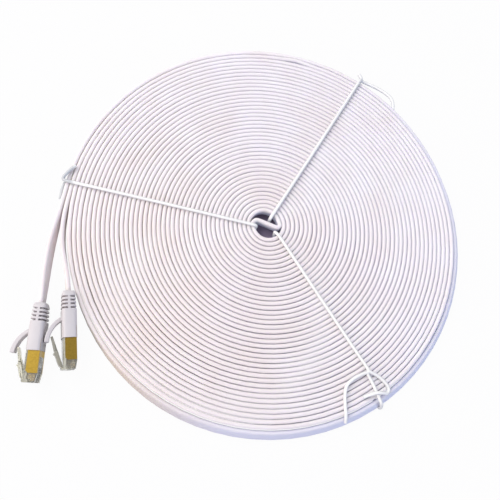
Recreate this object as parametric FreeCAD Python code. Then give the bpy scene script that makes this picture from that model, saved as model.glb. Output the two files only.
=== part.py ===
# Flat ethernet patch cable, folded at its middle and wound on edge into a flat round coil.
# Three wire ties hold the coil, and a moulded plug is on each end of the cable.
# Millimetres. Z is up, the origin is on the resting surface, in the middle of the outline.
import FreeCAD, Part

import math
import os

V = FreeCAD.Vector

# Cable and coil
cable_width = 6.6          # the flat cable's wide side, upright in the coil
cable_thickness = 2.0
wrap_gap = 0.45            # between neighbouring wraps
coil_loops = 20.5          # turns of the doubled cable
hole_radius = 8.4          # from the coil's axis to the first wrap
fold_radius = 2.5          # centre line of each bend of the fold in the hole
coil_turn = 8.0            # degrees, the fold's line against the X axis
coil_end_angle = 172.8     # degrees round the axis where the last turn leaves its arc
coil_end_run = 5.0         # straight end of the winding
coil_axis_x = 7.0          # from the middle of the whole outline to the coil's axis
coil_axis_y = -1.2

# Wire ties
tie_diameter = 2.0
tie_flat = 0.2             # depth of the flat on which the coil stands
tie_sides = 8
tie_fold = 0.62            # length of run that each fold of a tie takes up
tie_gap = 0.05             # between a tie and the cable beside it
tie_rest_gap = 0.03        # over and under the winding
tie_strand_gap = 0.2       # between a tie's two ends where they lie side by side

# Plug body, along X from the cable's entry to the nose
plug_length = 39.5         # boot and plug together
body_length = 21.46
body_width = 11.68
body_height = 6.6
nose_slope_length = 4.0
nose_slope_drop = 0.8
cavity_width = 8.6
cavity_height = 4.0
cavity_floor = 1.0         # wall under the cavity on the latch side
cavity_front = 8.0         # from the nose back to the cavity's end

# Contacts and wires
contact_count = 8
contact_pitch = 1.02
contact_thickness = 0.35
contact_length = 5.4
contact_from_nose = 0.9
contact_below_face = 0.45  # blade top under the plug's face
slot_width = 0.6
slot_length = 7.2
wire_thickness = 0.68
wire_jacket_pitch = 0.8    # the wires' spacing inside the flat jacket
wire_fan_length = 2.6
wire_groove_gap = 0.04
wire_end_wall = 1.7        # plastic in front of the wires
load_bar_length = 3.6
load_bar_gap = 0.06        # round the bar in the cavity
load_bar_top = 0.45        # above the wires' middle
jacket_into_plug = 6.6     # jacket that reaches into the plug body

# Shield
shield_thickness = 0.3
shield_nose_distance = 4.5
shield_plate_length = 9.0
shield_rail_width = 1.5
shield_foot = 0.5          # cheek ends above the latch side face
collar_length = 4.6
collar_wall = 0.4
collar_gap = 0.05
collar_neck_width = 3.4
collar_to_body = 2.2

# Boot
boot_over_body = 5.96
boot_wall_side = 0.76
boot_wall_face = 0.6
boot_tail_half_width = 4.7
boot_tail_half_height = 3.2
boot_neck_at = 1.6
boot_neck_half_width = 5.3
boot_neck_half_height = 3.6
boot_shoulder_at = 10.4
boot_corner = 1.1          # bevelled corners
boot_fit = 0.05            # round the plug and the jacket
collar_rear_gap = 1.64     # from the collar back to the step in the bore
slot_ring_count = 4
slot_ring_first = 2.6
slot_ring_pitch = 1.95
slot_ring_width = 0.95
slot_ring_wall = 0.75      # rubber left round the bore
slot_spine = 1.3

# Guard lever on the boot
guard_root_to_body = 3.84  # from the plug body's end back to the lever's root
guard_root_radius = 1.0
guard_width = 5.2
guard_thickness = 1.8
guard_tip_thickness = 2.1
guard_seat_gap = 0.05
guard_relief_length = 2.0  # shallow step in the boot where the lever swings in
guard_relief_depth = 0.35
guard_reach = 11.4         # root to tip along the plug
guard_rise = 5.2           # tip away from the boot's face
guard_bulge = 2.0          # of the curved lever above the line from root to tip

# Latch
latch_length = 16.0
latch_angle = 11.0         # degrees away from the plug at rest
latch_thickness = 1.1
latch_root_from_nose = 1.5
latch_seat_gap = 0.05
latch_root_width = 6.2
latch_tail_width = 3.3
latch_wide_length = 7.4
latch_taper_length = 1.6
latch_stop_length = 1.6
latch_stop_height = 0.7
latch_block_side = 0.5     # seat wall beyond the latch's root

# Where the plugs lie: cable entry, turn from the -Y direction, lean
left_plug_x = -113.4
left_plug_y = -53.0
left_plug_turn = 1.5
left_plug_lean = 0.0
right_plug_x = -101.2
right_plug_y = -46.0
right_plug_turn = 9.0
right_plug_lean = 14.0

# Free ends of the cable
lead_start_run = 8.8
lead_end_run = 8.6

# Worked out from the sizes above
wrap_pitch = cable_thickness + wrap_gap
strand_thickness = 2.0 * cable_thickness + wrap_gap
first_wrap_radius = hole_radius + cable_thickness / 2.0
coil_bottom = tie_diameter - tie_flat + tie_rest_gap
coil_top = coil_bottom + cable_width
coil_middle = coil_bottom + cable_width / 2.0
tie_low = tie_diameter / 2.0 - tie_flat
tie_high = coil_top + tie_rest_gap + tie_diameter / 2.0
body_rear = plug_length - body_length
boot_length = body_rear + boot_over_body
boot_bore_step = body_rear - collar_to_body - collar_length - collar_rear_gap
guard_root_at = body_rear - guard_root_to_body
half_height = body_height / 2.0
half_width = body_width / 2.0
boot_half_width = half_width + boot_wall_side
boot_half_height = half_height + boot_wall_face
cavity_bottom = -half_height + cavity_floor
wire_middle = cavity_bottom + 0.75
wire_top = wire_middle + wire_thickness / 2.0
jacket_end_at = body_rear + jacket_into_plug


def save(name, shape):
    """Move one sub-part from the coil's axis to its place and write its STEP file."""
    shape.translate(V(coil_axis_x, coil_axis_y, 0))
    shape.exportStep("parts/" + name + ".step")


def box(x0, x1, y0, y1, z0, z1):
    """A block between two corners."""
    return Part.makeBox(x1 - x0, y1 - y0, z1 - z0, V(x0, y0, z0))


def prism(points, half):
    """An outline in the XY plane, as thick as twice half along Z."""
    corners = [V(x, y, -half) for x, y in points]
    face = Part.Face(Part.makePolygon(corners + corners[:1]))
    return face.extrude(V(0, 0, 2.0 * half))


def turned(x, y, degrees):
    """A point of the plan turned about the coil's axis."""
    a = math.radians(degrees)
    return x * math.cos(a) - y * math.sin(a), x * math.sin(a) + y * math.cos(a)


def plan_arc(centre_x, radius, start, end, z):
    """An arc about a point on the X axis, from one angle in degrees to another."""
    def at(angle):
        a = math.radians(angle)
        return V(centre_x + radius * math.cos(a), radius * math.sin(a), z)
    return Part.Arc(at(start), at((start + end) / 2.0), at(end)).toShape()


def rounded_path(points, radii):
    """Straight runs through the points, joined by a tangent arc at each inner point."""
    edges = []
    last = points[0]
    for before, corner, after, radius in zip(points, points[1:], points[2:], radii):
        back = (before - corner).normalize()
        on = (after - corner).normalize()
        half_turn = (math.pi - back.getAngle(on)) / 2.0
        cut = radius * math.tan(half_turn)
        inward = (back + on).normalize()
        start = corner + back * cut
        end = corner + on * cut
        middle = corner + inward * (radius / math.cos(half_turn) - radius)
        edges.append(Part.LineSegment(last, start).toShape())
        edges.append(Part.Arc(start, middle, end).toShape())
        last = end
    edges.append(Part.LineSegment(last, points[-1]).toShape())
    return Part.Wire(edges)


def widest_radii(points):
    """The largest arc that each inner point's two runs leave room for."""
    radii = []
    for before, corner, after in zip(points, points[1:], points[2:]):
        shorter = min((before - corner).Length, (after - corner).Length)
        turn = math.pi - (before - corner).getAngle(after - corner)
        radii.append(0.45 * shorter / math.tan(turn / 2.0))
    return radii


def strip_section(at, along, thickness):
    """The upright rectangle of a flat cable at a point of its path."""
    flat = V(along.x, along.y, 0).normalize()
    across = V(-flat.y, flat.x, 0) * (thickness / 2.0)
    up = V(0, 0, cable_width / 2.0)
    corners = [at - across - up, at + across - up, at + across + up, at - across + up]
    return Part.makePolygon(corners + corners[:1])


def folded_path(points):
    """Straight runs through the points, with each corner cut off by a short run."""
    corners = [points[0]]
    for before, corner, after in zip(points, points[1:], points[2:]):
        corners.append(corner + (before - corner).normalize() * tie_fold)
        corners.append(corner + (after - corner).normalize() * tie_fold)
    return Part.makePolygon(corners + [points[-1]])


def swept(path, section, label, mitred=0):
    """A tube along a path, checked against its section times its length."""
    tube = path.makePipeShell([section], True, False, mitred)
    expected = Part.Face(section).Area * path.Length
    print(label, "length", round(path.Length, 1), "volume ratio", round(tube.Volume / expected, 4))
    return tube


def coil_path():
    """Half turns whose radius grows by one wrap, about two centres one wrap apart."""
    offset = wrap_pitch / 2.0
    radius = first_wrap_radius + offset
    half_turns = int(round(2.0 * coil_loops))
    edges = []
    for i in range(half_turns):
        upper = i % 2 == 0
        centre = -offset if upper else offset
        start = 0.0 if upper else 180.0
        sweep = coil_end_angle - coil_turn if i == half_turns - 1 else 180.0
        edges.append(plan_arc(centre, radius, start, start + sweep, coil_middle))
        radius += wrap_pitch
    end = edges[-1].Vertexes[-1].Point
    along = edges[-1].tangentAt(edges[-1].LastParameter).normalize()
    edges.append(Part.LineSegment(end, end + along * coil_end_run).toShape())
    return Part.Wire(edges), along


def fold_path():
    """The S in the hole and the half wrap that brings it back beside its own start."""
    side = first_wrap_radius - wrap_pitch / 2.0
    centre = side - fold_radius
    slope = math.degrees(math.asin(fold_radius / centre))
    right = plan_arc(centre, fold_radius, 0.0, -90.0 - slope, coil_middle)
    left = plan_arc(-centre, fold_radius, 90.0 - slope, 180.0, coil_middle)
    across = Part.LineSegment(right.Vertexes[-1].Point, left.Vertexes[0].Point).toShape()
    back = plan_arc(wrap_pitch / 2.0, first_wrap_radius, 180.0, 360.0, coil_middle)
    return Part.Wire([right, across, left, back])


def least_gap(path):
    """The least gap between loops of the winding, measured on points of its middle line."""
    points = [p for edge in path.Edges for p in edge.discretize(25)[:-1]]
    turn = int(25 * 2 * 0.8)
    least = 1e9
    for i, p in enumerate(points):
        for q in points[i + turn:i + 3 * turn]:
            least = min(least, math.hypot(p.x - q.x, p.y - q.y))
    return least - strand_thickness


def make_coil():
    """The whole winding and its fold as one unbroken solid."""
    path, along = coil_path()
    start = path.Edges[0].Vertexes[0].Point
    strand = swept(path, strip_section(start, V(0, 1, 0), strand_thickness), "coil")
    fold = fold_path()
    bend = fold.Edges[0].Vertexes[0].Point
    loop = swept(fold, strip_section(bend, V(0, -1, 0), cable_thickness), "fold")
    coil = strand.fuse(loop)
    print("coil least gap", round(least_gap(path), 3))
    coil.rotate(V(0, 0, 0), V(0, 0, 1), coil_turn)
    end = path.Edges[-1].Vertexes[-1].Point
    end_x, end_y = turned(end.x, end.y, coil_turn)
    along_x, along_y = turned(along.x, along.y, coil_turn)
    return coil, V(end_x, end_y, coil_middle), V(along_x, along_y, 0)


def make_lead(points, label):
    """One free end of the cable, from the winding to its plug's boot."""
    radii = widest_radii(points)
    print(label, "radii", [round(r, 1) for r in radii])
    path = rounded_path(points, radii)
    first = (points[1] - points[0]).normalize()
    return swept(path, strip_section(points[0], first, cable_thickness), label)


def round_section(points):
    """The section at a tie's first end that has a flat below and above on its longest run."""
    runs = [(after - before).normalize() for before, after in zip(points, points[1:])]
    lengths = [(after - before).Length for before, after in zip(points, points[1:])]
    longest = lengths.index(max(lengths))
    up = V(0, 0, 1)
    for i in range(longest, 0, -1):
        up = FreeCAD.Rotation(runs[i], runs[i - 1]).multVec(up)
    across = runs[0].cross(up).normalize()
    at = points[0]
    radius = tie_diameter / 2.0 / math.cos(math.pi / tie_sides)
    corners = []
    for i in range(tie_sides):
        a = 2.0 * math.pi * (i + 0.5) / tie_sides
        corners.append(at + (across * math.cos(a) + up * math.sin(a)) * radius)
    return Part.makePolygon(corners + corners[:1])


def make_tie(points, label):
    """A wire tie with its bent ends, cut flat where the coil stands on it."""
    tube = swept(folded_path(points), round_section(points), label, 1)
    room = tube.BoundBox
    below = box(room.XMin - 1, room.XMax + 1, room.YMin - 1, room.YMax + 1, -tie_diameter, 0)
    return tube.cut(below)


def rim_point(angle, along, out, z):
    """A point beside the rim: along it anticlockwise, and out from the cable's face."""
    upper = coil_turn < angle < 180.0 + coil_turn
    half_turns = int(round(2.0 * coil_loops))
    turns_in = half_turns - 1 if upper else half_turns - 2
    radius = first_wrap_radius + wrap_pitch / 2.0 + turns_in * wrap_pitch + strand_thickness / 2.0
    shift = -wrap_pitch / 2.0 if upper else wrap_pitch / 2.0
    x, y = turned(shift, 0.0, coil_turn)
    a = math.radians(angle)
    x += (radius + out) * math.cos(a) - along * math.sin(a)
    y += (radius + out) * math.sin(a) + along * math.cos(a)
    return V(x, y, z)


def bevelled_outline(x, half_v, half_w):
    """A rectangle with bevelled corners across the plug at one place along it."""
    c = boot_corner
    ring = []
    for sign_v, sign_w in ((1, 1), (-1, 1), (-1, -1), (1, -1)):
        near_v = V(x, sign_v * half_v, sign_w * (half_w - c))
        near_w = V(x, sign_v * (half_v - c), sign_w * half_w)
        ring += [near_v, near_w] if sign_v == sign_w else [near_w, near_v]
    return Part.makePolygon(ring + ring[:1])


def make_boot():
    """The moulded boot: tapered tail with slotted rings, bore, and the guard's seat."""
    rings = [
        bevelled_outline(0.0, boot_tail_half_height, boot_tail_half_width),
        bevelled_outline(boot_neck_at, boot_neck_half_height, boot_neck_half_width),
        bevelled_outline(boot_shoulder_at, boot_half_height, boot_half_width),
        bevelled_outline(boot_length, boot_half_height, boot_half_width),
    ]
    boot = Part.makeLoft(rings, True, True)
    bore_v = cable_thickness / 2.0 + boot_fit
    bore_w = cable_width / 2.0 + boot_fit
    far = boot_half_width + 1.0
    core_v = bore_v + slot_ring_wall
    core_w = bore_w + slot_ring_wall
    keep = box(0, boot_length, -core_v, core_v, -core_w, core_w)
    spine = box(0, boot_length, -slot_spine / 2.0, slot_spine / 2.0, -far, far)
    for i in range(slot_ring_count):
        at = slot_ring_first + i * slot_ring_pitch
        slab = box(at, at + slot_ring_width, -far, far, -far, far)
        boot = boot.cut(slab.cut(keep.fuse(spine)))
    boot = boot.cut(box(-1, boot_length, -bore_v, bore_v, -bore_w, bore_w))
    wide_v = half_height - boot_wall_face - collar_wall
    wide_w = cable_width / 2.0 + collar_gap + collar_wall + boot_fit
    boot = boot.cut(box(boot_bore_step, boot_length, -wide_v, wide_v, -wide_w, wide_w))
    boot = boot.cut(box(body_rear, boot_length + 1, -half_height - boot_fit, half_height + boot_fit,
                        -half_width - boot_fit, half_width + boot_fit))
    neck_w = collar_neck_width / 2.0 + boot_fit
    boot = boot.cut(box(boot_bore_step, body_rear, 0, half_height + boot_fit, -neck_w, neck_w))
    seat_half = guard_width / 2.0 + guard_seat_gap
    seat = Part.makeCylinder(guard_root_radius + guard_seat_gap, 2.0 * seat_half,
                             V(guard_root_at, -boot_half_height, -seat_half), V(0, 0, 1))
    relief = box(guard_root_at, guard_root_at + guard_relief_length, -boot_half_height - 1,
                 -boot_half_height + guard_relief_depth, -seat_half, seat_half)
    return boot.cut(seat).cut(relief)


def arc_through(x0, y0, x1, y1, bulge, z):
    """An arc between two points of the plug's plan that stands out to the latch side."""
    dx, dy = x1 - x0, y1 - y0
    length = math.hypot(dx, dy)
    mid = V((x0 + x1) / 2.0 + dy / length * bulge, (y0 + y1) / 2.0 - dx / length * bulge, z)
    return Part.Arc(V(x0, y0, z), mid, V(x1, y1, z)).toShape()


def make_guard():
    """The curved lever over the latch, on a round root that turns in the boot's seat."""
    z = -guard_width / 2.0
    root_x, root_y = guard_root_at, -boot_half_height
    tip_x, tip_y = root_x + guard_reach, root_y - guard_rise
    outer = arc_through(root_x - guard_root_radius, root_y, tip_x, tip_y - guard_tip_thickness / 2.0,
                        guard_bulge + guard_thickness / 2.0, z)
    inner = arc_through(root_x + guard_root_radius, root_y, tip_x, tip_y + guard_tip_thickness / 2.0,
                        guard_bulge - guard_thickness / 2.0, z)
    tip_middle = V(tip_x + guard_tip_thickness * 0.4, tip_y, z)
    tip = Part.Arc(outer.Vertexes[-1].Point, tip_middle, inner.Vertexes[-1].Point).toShape()
    root_middle = V(root_x, root_y + guard_root_radius, z)
    root = Part.Arc(inner.Vertexes[0].Point, root_middle, outer.Vertexes[0].Point).toShape()
    outline = Part.Wire(Part.__sortEdges__([outer, tip, inner, root]))
    return Part.Face(outline).extrude(V(0, 0, guard_width))


def latch_root():
    """The middle of the latch's round root."""
    return plug_length - latch_root_from_nose, -half_height - latch_thickness / 2.0


def make_plug_body():
    """The clear plug: sloped nose, blade slots, wire channel, cavity and latch seat."""
    nose = plug_length
    top_nose = half_height - nose_slope_drop
    side = [(body_rear, -half_height), (nose, -half_height), (nose, top_nose),
            (nose - nose_slope_length, half_height), (body_rear, half_height)]
    body = prism(side, half_width)
    root_x, root_y = latch_root()
    block_half = latch_root_width / 2.0 + latch_block_side
    block = [(root_x, -half_height), (root_x, -half_height - latch_thickness),
             (nose - 0.4, -half_height - latch_thickness), (nose, -half_height - 0.6),
             (nose, -half_height)]
    body = body.fuse(prism(block, block_half))
    seat_half = latch_root_width / 2.0 + latch_seat_gap
    body = body.cut(Part.makeCylinder(latch_thickness / 2.0 + latch_seat_gap, 2.0 * seat_half,
                                      V(root_x, root_y, -seat_half), V(0, 0, 1)))
    shield_end = nose - shield_nose_distance
    for sign in (1, -1):
        inner = sign * (half_width - shield_thickness)
        outer = sign * (half_width + 1.0)
        body = body.cut(box(body_rear - 1, shield_end, -half_height + shield_foot, half_height + 1,
                            min(inner, outer), max(inner, outer)))
        rail = sign * (half_width - shield_rail_width)
        body = body.cut(box(body_rear - 1, shield_end, half_height - shield_thickness,
                            half_height + 1, min(rail, outer), max(rail, outer)))
    body = body.cut(box(body_rear - 1, body_rear + shield_plate_length, half_height - shield_thickness,
                        half_height + 1, -half_width, half_width))
    body = body.cut(box(body_rear - 1, nose - cavity_front, cavity_bottom,
                        cavity_bottom + cavity_height, -cavity_width / 2.0, cavity_width / 2.0))
    channel_half = contact_places()[-1] + wire_thickness / math.sqrt(3.0) + wire_groove_gap
    body = body.cut(box(nose - cavity_front - 1, nose - wire_end_wall,
                        wire_middle - wire_thickness / 2.0, wire_top, -channel_half, channel_half))
    for w in contact_places():
        body = body.cut(box(nose - slot_length, nose + 1, wire_top, half_height + 1,
                            w - slot_width / 2.0, w + slot_width / 2.0))
    return body


def contact_places():
    """The eight contacts' places across the plug."""
    middle = (contact_count - 1) / 2.0
    return [(i - middle) * contact_pitch for i in range(contact_count)]


def make_contacts():
    """Eight blades that stand on the wires, each with its two piercing points' step."""
    front = plug_length - contact_from_nose
    back = front - contact_length
    top = half_height - nose_slope_drop - contact_below_face
    blade = [(back + 0.9, wire_top), (front - 1.1, wire_top), (front - 1.1, wire_top + 0.9),
             (front, wire_top + 1.5), (front, top - 0.5), (front - 0.5, top), (back, top),
             (back, wire_top + 1.2), (back + 0.9, wire_top + 0.8)]
    blades = []
    for w in contact_places():
        piece = prism(blade, contact_thickness / 2.0)
        piece.translate(V(0, 0, w))
        blades.append(piece)
    return Part.makeCompound(blades)


def hexagon(x, w, across_flats):
    """A wire's section across the plug."""
    r = across_flats / math.sqrt(3.0)
    corners = []
    for i in range(6):
        a = math.radians(60.0 * i)
        corners.append(V(x, wire_middle + r * math.sin(a), w + r * math.cos(a)))
    return Part.makePolygon(corners + corners[:1])


def make_wires():
    """Eight insulated wires that fan out of the flat jacket to the contacts' spacing."""
    middle = (contact_count - 1) / 2.0
    wires = []
    for i in range(contact_count):
        near = (i - middle) * wire_jacket_pitch
        far = (i - middle) * contact_pitch
        places = [(jacket_end_at, near), (jacket_end_at + wire_fan_length, far),
                  (plug_length - wire_end_wall, far)]
        rings = [hexagon(x, w, wire_thickness) for x, w in places]
        wires.append(Part.makeLoft(rings, True, True))
    return Part.makeCompound(wires)


def make_load_bar():
    """The comb in the cavity that spaces the wires."""
    end = plug_length - cavity_front
    half = cavity_width / 2.0 - load_bar_gap
    bar = box(end - load_bar_length, end, cavity_bottom, wire_middle + load_bar_top, -half, half)
    groove = wire_thickness / math.sqrt(3.0) + wire_groove_gap
    for w in contact_places():
        bar = bar.cut(box(end - load_bar_length - 1, end + 1, wire_middle - wire_thickness / 2.0,
                          wire_middle + load_bar_top + 1, w - groove, w + groove))
    return bar


def make_jacket_end():
    """The cable inside the boot, up to where its wires come out."""
    half_v = cable_thickness / 2.0
    half_w = cable_width / 2.0
    return box(0, jacket_end_at, -half_v, half_v, -half_w, half_w)


def make_shield():
    """The plated shell: two cheeks, a plate, two rails and the collar round the jacket."""
    end = plug_length - shield_nose_distance
    foot = -half_height + shield_foot
    inner = half_width - shield_thickness
    under = half_height - shield_thickness
    shell = box(body_rear, body_rear + shield_plate_length, under, half_height, -half_width, half_width)
    cheek = [(body_rear, foot), (end - 1.2, foot), (end, foot + 1.6), (end, half_height),
             (body_rear, half_height)]
    for sign in (1, -1):
        side = prism(cheek, shield_thickness / 2.0)
        side.translate(V(0, 0, sign * (half_width - shield_thickness / 2.0)))
        rail = box(body_rear, end, under, half_height, half_width - shield_rail_width, inner)
        if sign < 0:
            rail = box(body_rear, end, under, half_height, -inner, -half_width + shield_rail_width)
        shell = shell.fuse(side).fuse(rail)
    hole_v = cable_thickness / 2.0 + collar_gap
    hole_w = cable_width / 2.0 + collar_gap
    out_v = hole_v + collar_wall
    out_w = hole_w + collar_wall
    front = body_rear - collar_to_body
    collar = box(front - collar_length, front, -out_v, out_v, -out_w, out_w)
    collar = collar.cut(box(front - collar_length - 1, front + 1, -hole_v, hole_v, -hole_w, hole_w))
    seam = box(front - collar_length - 1, front + 1, -out_v - 1, -hole_v + 0.01, -0.2, 0.2)
    neck = [(front - collar_wall, hole_v), (front, hole_v), (body_rear, under - shield_thickness),
            (body_rear, half_height), (front - collar_wall, out_v)]
    return shell.fuse(collar.cut(seam)).fuse(prism(neck, collar_neck_width / 2.0))


def make_latch():
    """The springy latch: round root, wide part with its stop, and narrow tail."""
    root_x, root_y = latch_root()
    r = latch_thickness / 2.0
    wide = latch_root_width / 2.0
    slim = latch_tail_width / 2.0
    taper = latch_wide_length + latch_taper_length
    plan = [(0, -wide), (-latch_wide_length, -wide), (-taper, -slim), (-latch_length, -slim),
            (-latch_length, slim), (-taper, slim), (-latch_wide_length, wide), (0, wide)]
    corners = [V(x, -r, z) for x, z in plan]
    plate = Part.Face(Part.makePolygon(corners + corners[:1])).extrude(V(0, 2.0 * r, 0))
    end = Part.makeCylinder(r, 2.0 * wide, V(0, 0, -wide), V(0, 0, 1))
    stop = prism([(-latch_wide_length, -r), (-latch_wide_length + latch_stop_length, -r),
                  (-latch_wide_length, -r - latch_stop_height)], wide)
    latch = plate.fuse(end).fuse(stop).removeSplitter()
    latch.rotate(V(0, 0, 0), V(0, 0, 1), latch_angle)
    latch.translate(V(root_x, root_y, 0))
    return latch


def plug_placement(x, y, turn, lean):
    """Where a plug lies: on its narrow side, nose down the picture, latch to the left."""
    a = math.radians(lean)
    low_corners = [(boot_half_width, boot_half_height - boot_corner),
                   (boot_half_width - boot_corner, boot_half_height)]
    height = max(w * math.cos(a) + v * math.sin(a) for w, v in low_corners)
    tilt = FreeCAD.Rotation(V(1, 0, 0), -lean)
    swing = FreeCAD.Rotation(V(0, 0, 1), turn - 90.0)
    return FreeCAD.Placement(V(x, y, height), swing.multiply(tilt))


def make_plug(side, place):
    """All the pieces of one plug, each in its own file."""
    pieces = {
        "boot": make_boot(),
        "guard": make_guard(),
        "plug_body": make_plug_body(),
        "latch": make_latch(),
        "shield": make_shield(),
        "contacts": make_contacts(),
        "wires": make_wires(),
        "load_bar": make_load_bar(),
        "jacket_end": make_jacket_end(),
    }
    for name, shape in pieces.items():
        shape.Placement = place.multiply(shape.Placement)
        save(side + "_" + name, shape)
    return place


def hole_point(angle, share, z):
    """A point in the hole, at a share of the hole's radius."""
    x, y = turned(share * hole_radius, 0.0, angle)
    return V(x, y, z)


def side_height(share):
    """A height on the winding's side, as a share of the cable's width."""
    return coil_bottom + share * cable_width


def make_ties(coil_end, along):
    """The three ties: each goes through the hole, over and under the winding, to its rim."""
    reach = 0.5 + tie_gap / tie_diameter
    apart = 0.5 + 0.5 * tie_strand_gap / tie_diameter
    out = V(along.y, -along.x, 0)
    tie_at = coil_end - along * (coil_end_run + tie_gap)

    def beside(run, extra, z):
        p = tie_at + along * (run * tie_diameter)
        p = p + out * (strand_thickness / 2.0 + (reach + extra) * tie_diameter)
        return V(p.x, p.y, z)

    def upper_rim(run, extra, z):
        return rim_point(62.2, run * tie_diameter, extra * tie_diameter, z)

    def lower_rim(run, extra, z):
        return rim_point(-53.8, run * tie_diameter, extra * tie_diameter, z)

    left = [beside(-6.0, 0.45, side_height(0.42)), beside(-apart, 0.0, side_height(0.465)),
            beside(-apart, 0.0, tie_high), hole_point(191.3, 0.668, tie_high),
            hole_point(191.3, 0.668, tie_low), beside(apart, 0.0, tie_low),
            beside(apart, 0.0, side_height(0.51)), beside(4.5, 2.1, side_height(0.69))]
    save("left_tie", make_tie(left, "left tie"))

    upper = [upper_rim(-12.5, 1.6, side_height(0.66)), upper_rim(-10.5, 4.2, side_height(0.39)),
             upper_rim(-apart, reach, side_height(0.465)), upper_rim(-apart, reach, tie_high),
             hole_point(59.3, 0.512, tie_high), hole_point(59.3, 0.512, tie_low),
             upper_rim(apart, reach, tie_low), upper_rim(apart, reach, side_height(0.51)),
             upper_rim(2.7, 2.5, side_height(0.875))]
    save("upper_tie", make_tie(upper, "upper tie"))

    lower = [lower_rim(-12.4, 1.87, side_height(0.39)), lower_rim(-11.4, -0.14, tie_high),
             lower_rim(-7.1, -6.4, tie_high), lower_rim(0.14, -6.66, tie_high),
             hole_point(-37.6, 0.917, tie_high), hole_point(-37.6, 0.917, tie_low),
             lower_rim(0.0, reach, tie_low), lower_rim(0.0, reach, tie_high),
             lower_rim(0.46, -5.06, tie_high), lower_rim(3.9, -5.02, tie_high),
             lower_rim(4.14, -0.26, tie_high)]
    save("lower_tie", make_tie(lower, "lower tie"))


def lead_route(start, along, place, bends):
    """A free end's points: out of the winding, a few bends as shares of the way, into the boot."""
    first = start + along * lead_start_run
    last = place.Base
    entry = place.Rotation.multVec(V(1, 0, 0))
    way = last - first
    beside = V(-way.y, way.x, 0)
    points = [start, first]
    for share, bow, rise in bends:
        p = first + way * share + beside * bow
        points.append(V(p.x, p.y, first.z + rise * way.z))
    return points + [last - entry * lead_end_run, last]


def main():
    os.makedirs("parts", exist_ok=True)
    coil, coil_end, along = make_coil()
    save("cable_coil", coil)
    make_ties(coil_end, along)

    left = plug_placement(left_plug_x, left_plug_y, left_plug_turn, left_plug_lean)
    right = plug_placement(right_plug_x, right_plug_y, right_plug_turn, right_plug_lean)
    make_plug("left", left)
    make_plug("right", right)

    out = V(along.y, -along.x, 0)
    left_start = coil_end + out * (wrap_pitch / 2.0)
    right_start = coil_end - out * (wrap_pitch / 2.0)
    left_bends = [(0.205, -0.023, 0.2), (0.407, -0.033, 0.5), (0.608, -0.028, 0.8)]
    right_bends = [(0.213, -0.020, 0.05), (0.424, -0.023, 0.4), (0.612, -0.015, 0.75)]
    left_route = lead_route(left_start, along, left, left_bends)
    right_route = lead_route(right_start, along, right, right_bends)
    save("left_lead", make_lead(left_route, "left lead"))
    save("right_lead", make_lead(right_route, "right lead"))


main()
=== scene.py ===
import math

import bmesh
import bpy
from mathutils import Matrix, Vector, noise


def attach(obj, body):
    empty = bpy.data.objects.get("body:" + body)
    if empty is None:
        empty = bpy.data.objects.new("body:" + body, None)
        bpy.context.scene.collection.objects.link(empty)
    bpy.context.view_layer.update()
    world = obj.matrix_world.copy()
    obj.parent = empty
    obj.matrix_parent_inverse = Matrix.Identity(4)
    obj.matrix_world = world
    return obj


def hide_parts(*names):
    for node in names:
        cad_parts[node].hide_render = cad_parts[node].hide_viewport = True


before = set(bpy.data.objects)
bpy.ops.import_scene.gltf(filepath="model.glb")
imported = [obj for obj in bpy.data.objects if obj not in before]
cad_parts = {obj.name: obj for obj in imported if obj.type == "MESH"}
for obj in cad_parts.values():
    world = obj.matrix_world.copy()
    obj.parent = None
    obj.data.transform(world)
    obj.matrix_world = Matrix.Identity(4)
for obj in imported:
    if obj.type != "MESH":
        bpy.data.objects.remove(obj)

bl_info = {
    "name": "Coiled Patch Cable",
    "version": (1, 0, 0),
    "blender": (4, 5, 0),
    "location": "3D View > Sidebar > Cable",
    "description": "Dresses the frame of a flat patch cable that is wound on edge and tied with wire",
    "category": "Object",
}

MM = 0.001
COIL_AXIS = Vector((7.0, -1.2, 0.0))
COIL_TURN = math.radians(8.0)
COIL_END = math.radians(172.8)
HALF_TURN_STEPS = 12
LOOSE_FROM = 38
LAST_HALF_TURN = {"inner": 40, "outer": 41}

# The winding in millimetres and degrees round the rim
WINDING_EDGE = 9.0
WINDING_DEPTH = 99.0
HEIGHT_WAVER = 0.16
LEAN_WAVER = math.radians(1.8)
FLARE_RISE = (188.0, 250.0)
FLARE_FALL = (15.0, 75.0)
FLARE_OUT = 0.84
FLARE_SAG = 1.25
FOLD_RISE = 0.15
TIE_NARROWING = 0.94

# Plugs in plan, in millimetres from the coil's axis
LEFT_PLUG = (-113.4, -53.0)
RIGHT_PLUG = (-101.2, -46.0)
BOOT_CORNER = 1.1

# In a plug's own axes, in millimetres: X along the plug from the boot's end, Y away from the latch
BOOT_LENGTH = 24.0
SLEEVE_HALF_DEPTH = 3.62
SLEEVE_HALF_WIDTH = 6.6
SLOT_PITCH = 1.95
SLOT_WIDTH = 0.95
BOOT_STATIONS = [
    (0.0, 2.75, 4.4), (0.7, 3.05, 4.9), (1.8, 3.3, 5.35),
    (10.4, SLEEVE_HALF_DEPTH, SLEEVE_HALF_WIDTH), (BOOT_LENGTH, SLEEVE_HALF_DEPTH, SLEEVE_HALF_WIDTH),
]
SLOT_FLOOR = (1.9, 4.2)
MOUTH = (3.36, 5.9)
MOUTH_END = 18.2
LEVER_ROOT = Vector((14.2, -3.9, 0.0))
LEVER_TIP = Vector((25.4, -10.8, 0.0))
LEVER_BULGE = 1.6
LATCH_ROOT = (38.0, -3.85, 0.0)
LATCH_SLOPE = 0.235
LATCH_SPRING = math.radians(5.5)
LATCH_SWELL = 0.75
SHELL_FROM = 17.8
SHELL_EDGE = -2.3
SHARP_EDGE = math.radians(35.0)

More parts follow.
